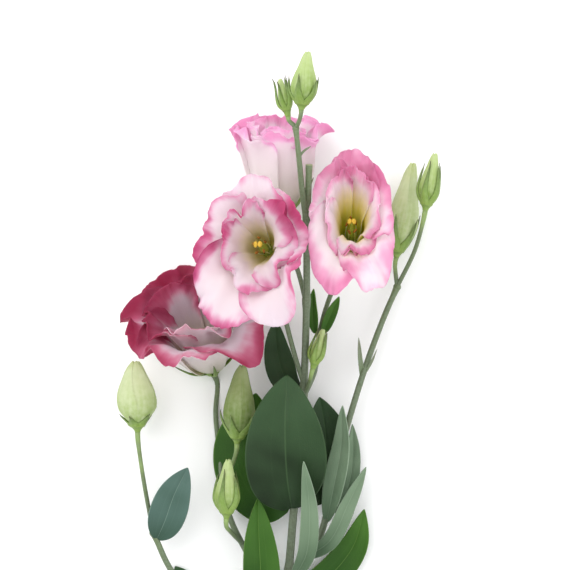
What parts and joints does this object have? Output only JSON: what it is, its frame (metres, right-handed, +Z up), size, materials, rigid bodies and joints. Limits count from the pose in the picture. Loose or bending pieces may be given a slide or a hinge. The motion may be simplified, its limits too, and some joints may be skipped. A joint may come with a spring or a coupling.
{
  "type": "lisianthus flower",
  "caption": "Cut branching lisianthus stem with ruffled pink-edged white double blooms, pointed green buds and smooth leaves, lying on its side.",
  "frame": {"origin": "on the surface the stem lies on, below the middle of the part's footprint", "axes": "+Y from the cut end of the stem towards the blooms, +X to the right as seen from above, +Z up from the surface"},
  "size_m": [0.169, 0.3791, 0.0951],
  "materials": {
    "stem_green": "fresh grey-green plant stem, smooth, faintly bloomed, browner at the forks",
    "petal_pink_white": "thin matte living petal, white with a rose-pink margin and a green-yellow throat",
    "sepal_green": "matte yellow-green sepals with a raised keel",
    "ovary_green": "smooth green ovary with a yellow two-lobed stigma",
    "anther_yellow": "dull, pollen-dusted yellow anthers on pale filaments",
    "bud_pale": "furled petals, pale yellow-green to whitish green, matte",
    "leaf_deep": "deep green leaf with a soft bluish sheen",
    "leaf_fresh": "fresh green leaf, satin",
    "leaf_glaucous": "blue-green leaf with a waxy bloom, matte"
  },
  "bodies": {
    "root": {"stem": "stem_green", "corolla_center": "petal_pink_white", "calyx_center": "sepal_green", "pistil_center": "ovary_green", "stamens_center": "anther_yellow", "corolla_right": "petal_pink_white", "calyx_right": "sepal_green", "pistil_right": "ovary_green", "stamens_right": "anther_yellow", "corolla_top": "petal_pink_white", "calyx_top": "sepal_green", "pistil_top": "ovary_green", "stamens_top": "anther_yellow", "corolla_left": "petal_pink_white", "calyx_left": "sepal_green", "pistil_left": "ovary_green", "stamens_left": "anther_yellow", "bud_crown": "bud_pale", "bud_crown_calyx": "sepal_green", "bud_crown_side": "bud_pale", "bud_crown_side_calyx": "sepal_green", "bud_right": "bud_pale", "bud_right_calyx": "sepal_green", "bud_right_side": "bud_pale", "bud_right_side_calyx": "sepal_green", "bud_small": "bud_pale", "bud_small_calyx": "sepal_green", "bud_middle": "bud_pale", "bud_middle_calyx": "sepal_green", "bud_middle_side": "bud_pale", "bud_middle_side_calyx": "sepal_green", "bud_left": "bud_pale", "bud_left_calyx": "sepal_green", "leaf_front": "leaf_deep", "leaf_behind": "leaf_fresh", "leaf_behind_right": "leaf_deep", "leaf_upper": "leaf_deep", "leaf_pair_left": "leaf_fresh", "leaf_pair_right": "leaf_fresh", "leaf_low_narrow": "leaf_glaucous", "leaf_branch_left": "leaf_glaucous", "leaf_branch_right": "leaf_glaucous", "leaf_arching": "leaf_glaucous", "leaf_curled": "leaf_fresh", "leaf_low": "leaf_fresh", "leaf_glaucous": "leaf_glaucous", "leaf_floor_left": "leaf_deep"}
  },
  "joints": []
}
